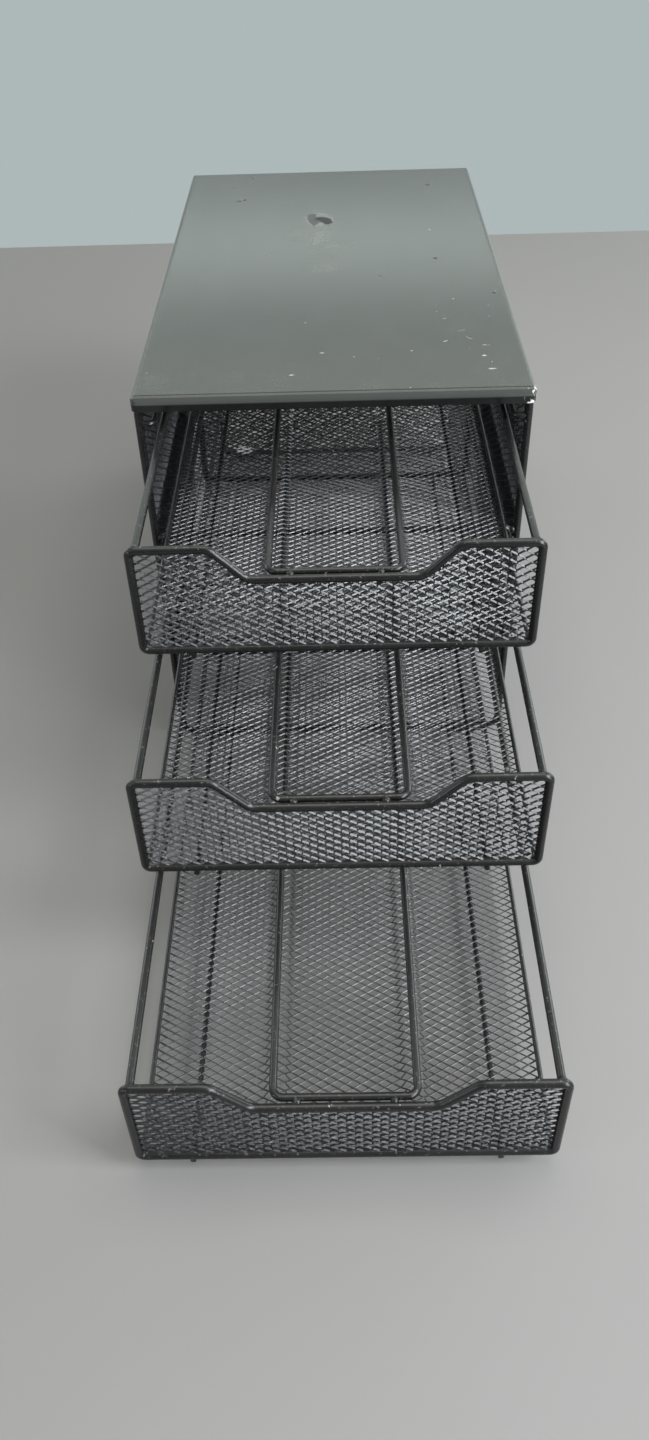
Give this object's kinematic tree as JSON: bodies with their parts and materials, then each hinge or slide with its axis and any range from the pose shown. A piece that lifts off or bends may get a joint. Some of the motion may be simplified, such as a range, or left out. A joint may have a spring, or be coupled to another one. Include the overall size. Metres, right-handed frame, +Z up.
{
  "type": "coffee pod drawer cabinet",
  "caption": "Narrow black wire and expanded-mesh cabinet whose stacked drawers slide out, each with a scooped front and a U-shaped divider wire for rows of coffee pods.",
  "frame": {"origin": "on the surface the feet stand on, under the centre of the top panel", "axes": "+Z up, drawers open towards -Y, +X to the right as seen from behind and to the right of the picture as seen from the front"},
  "size_m": [0.179, 0.5721, 0.2026],
  "materials": {
    "panel": "worn satin grey-green powder coat",
    "wire": "satin black powder coat",
    "mesh": "satin black powder coat on expanded steel",
    "foot_rubber": "matt black"
  },
  "bodies": {
    "cabinet": {"top_panel": "panel", "front_frame": "wire", "rear_frame": "wire", "upper_rail_left": "wire", "upper_rail_right": "wire", "lower_rail_left": "wire", "lower_rail_right": "wire", "side_mesh_left": "mesh", "side_mesh_right": "mesh", "rear_mesh": "mesh", "front_crossbar_upper": "wire", "front_crossbar_lower": "wire", "rear_crossbar_upper": "wire", "rear_crossbar_lower": "wire", "guides_top": "wire", "guides_middle": "wire", "guides_bottom": "wire", "runners_top": "wire", "runners_middle": "wire", "runners_bottom": "wire", "feet": "foot_rubber"},
    "top_drawer": {"top_drawer_front": "wire", "top_drawer_front_mesh": "mesh", "top_drawer_rear": "wire", "top_drawer_rear_mesh": "mesh", "top_drawer_floor_mesh": "mesh", "top_drawer_floor_edges": "wire", "top_drawer_supports": "wire", "top_drawer_rod_left": "wire", "top_drawer_rod_right": "wire", "top_drawer_divider": "wire"},
    "middle_drawer": {"middle_drawer_front": "wire", "middle_drawer_front_mesh": "mesh", "middle_drawer_rear": "wire", "middle_drawer_rear_mesh": "mesh", "middle_drawer_floor_mesh": "mesh", "middle_drawer_floor_edges": "wire", "middle_drawer_supports": "wire", "middle_drawer_rod_left": "wire", "middle_drawer_rod_right": "wire", "middle_drawer_divider": "wire"},
    "bottom_drawer": {"bottom_drawer_front": "wire", "bottom_drawer_front_mesh": "mesh", "bottom_drawer_rear": "wire", "bottom_drawer_rear_mesh": "mesh", "bottom_drawer_floor_mesh": "mesh", "bottom_drawer_floor_edges": "wire", "bottom_drawer_supports": "wire", "bottom_drawer_rod_left": "wire", "bottom_drawer_rod_right": "wire", "bottom_drawer_divider": "wire"}
  },
  "joints": [
    {"name": "top_drawer_slide", "type": "slide", "parent": "cabinet", "child": "top_drawer", "axis": [0, -1, 0], "range_m": [-0.097, 0.173]},
    {"name": "middle_drawer_slide", "type": "slide", "parent": "cabinet", "child": "middle_drawer", "axis": [0, -1, 0], "range_m": [-0.16, 0.11]},
    {"name": "bottom_drawer_slide", "type": "slide", "parent": "cabinet", "child": "bottom_drawer", "axis": [0, -1, 0], "range_m": [-0.251, 0.019]}
  ]
}
